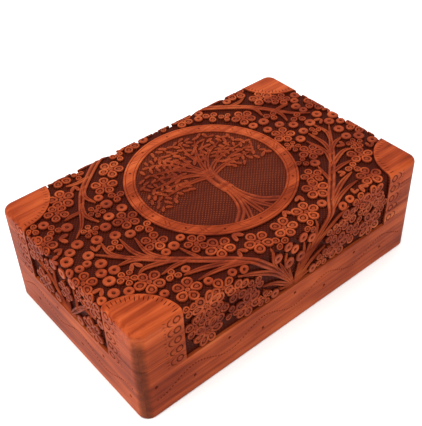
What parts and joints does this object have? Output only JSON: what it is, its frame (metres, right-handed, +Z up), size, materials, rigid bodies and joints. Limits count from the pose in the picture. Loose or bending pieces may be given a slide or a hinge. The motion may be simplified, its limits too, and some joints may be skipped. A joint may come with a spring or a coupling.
{
  "type": "hinged wooden box",
  "caption": "Rectangular wooden keepsake box with mitred walls, a deep hinged lid that opens past upright, and brass butt hinges let into the back.",
  "frame": {"origin": "centre of the base's underside", "axes": "+X along the length, -Y out of the front, +Y out of the hinged back, +Z up"},
  "size_m": [0.254, 0.158, 0.083],
  "materials": {
    "rosewood": "satin lacquer",
    "panel_wood": "bare, sanded",
    "hinge_brass": "polished"
  },
  "bodies": {
    "base": {"base_front_wall": "rosewood", "base_back_wall": "rosewood", "base_left_wall": "rosewood", "base_right_wall": "rosewood", "base_bottom_panel": "panel_wood", "left_hinge_base_leaf": "hinge_brass", "right_hinge_base_leaf": "hinge_brass", "left_hinge_pin": "hinge_brass", "right_hinge_pin": "hinge_brass", "base_leaf_screws": "hinge_brass"},
    "lid": {"lid_top_board": "rosewood", "lid_front_rail": "rosewood", "lid_back_rail": "rosewood", "lid_left_rail": "rosewood", "lid_right_rail": "rosewood", "left_hinge_lid_leaf": "hinge_brass", "right_hinge_lid_leaf": "hinge_brass", "lid_leaf_screws": "hinge_brass"}
  },
  "joints": [
    {"name": "lid_hinge", "type": "hinge", "parent": "base", "child": "lid", "pos_m": [0, 0.0765, 0.04815], "axis": [-1, 0, 0], "range_deg": [0, 100]}
  ]
}
